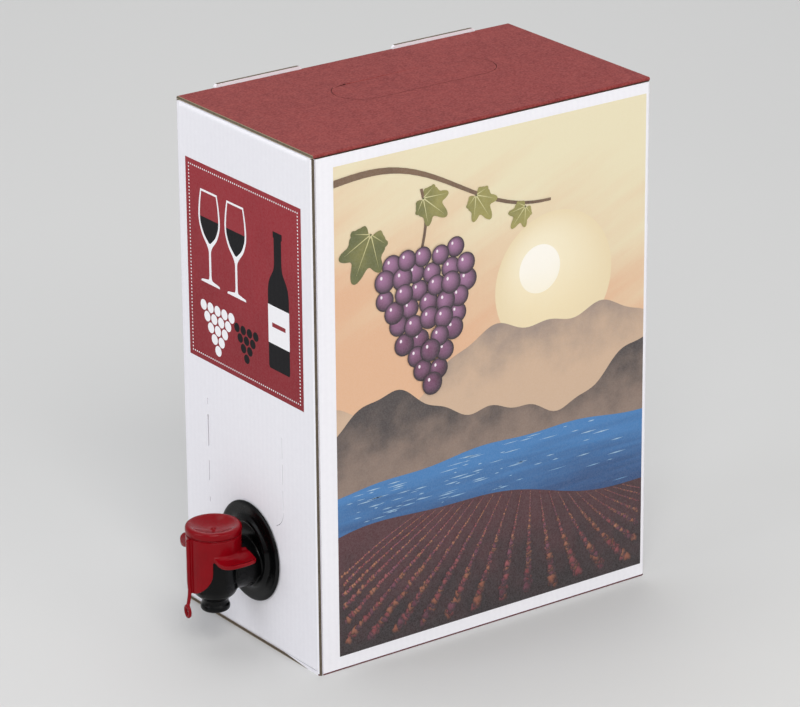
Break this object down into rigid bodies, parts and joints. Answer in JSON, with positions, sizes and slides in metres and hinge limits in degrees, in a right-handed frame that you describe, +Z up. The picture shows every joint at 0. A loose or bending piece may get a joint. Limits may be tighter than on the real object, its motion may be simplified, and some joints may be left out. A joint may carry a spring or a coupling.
{
  "type": "bag in box carton",
  "caption": "Corrugated bag-in-box wine carton with a hinged lid, a push-in hand hole, a bag of wine inside and a self-closing lift tap at one end.",
  "frame": {"origin": "centre of the carton's bottom, on the floor", "axes": "+Z up; the wide picture panel faces -Y; the tap stands out of the end panel at -X; the lid is hinged at the front top edge"},
  "size_m": [0.2216, 0.107, 0.2465],
  "materials": {
    "carton_board": "white coated corrugated board",
    "printed_lid_board": "wine-red printed corrugated board",
    "bag_film": "silvery laminated film, filled with wine",
    "natural_polyethylene": "satin natural",
    "black_polypropylene": "satin black moulding",
    "grey_elastomer": "soft matt",
    "red_polypropylene": "satin red moulding"
  },
  "bodies": {
    "carton": {"carton": "carton_board", "wine_bag": "bag_film", "gland": "natural_polyethylene", "tap_body": "black_polypropylene", "tap_membrane": "grey_elastomer"},
    "lid": {"lid": "printed_lid_board"},
    "hand_flap": {"hand_flap": "printed_lid_board"},
    "handle": {"tap_handle": "red_polypropylene", "tap_stem": "natural_polyethylene"}
  },
  "joints": [
    {"name": "lid_hinge", "type": "hinge", "parent": "carton", "child": "lid", "pos_m": [0, -0.0527, 0.2442], "axis": [1, 0, 0], "range_deg": [0, 175]},
    {"name": "hand_flap_hinge", "type": "hinge", "parent": "lid", "child": "hand_flap", "pos_m": [0.007, 0.0219, 0.2442], "axis": [1, 0, 0], "range_deg": [0, 85]},
    {"name": "handle_lift", "type": "slide", "parent": "carton", "child": "handle", "axis": [0, 0, 1], "range_m": [0, 0.004], "stiffness_N_per_m": 1500}
  ]
}
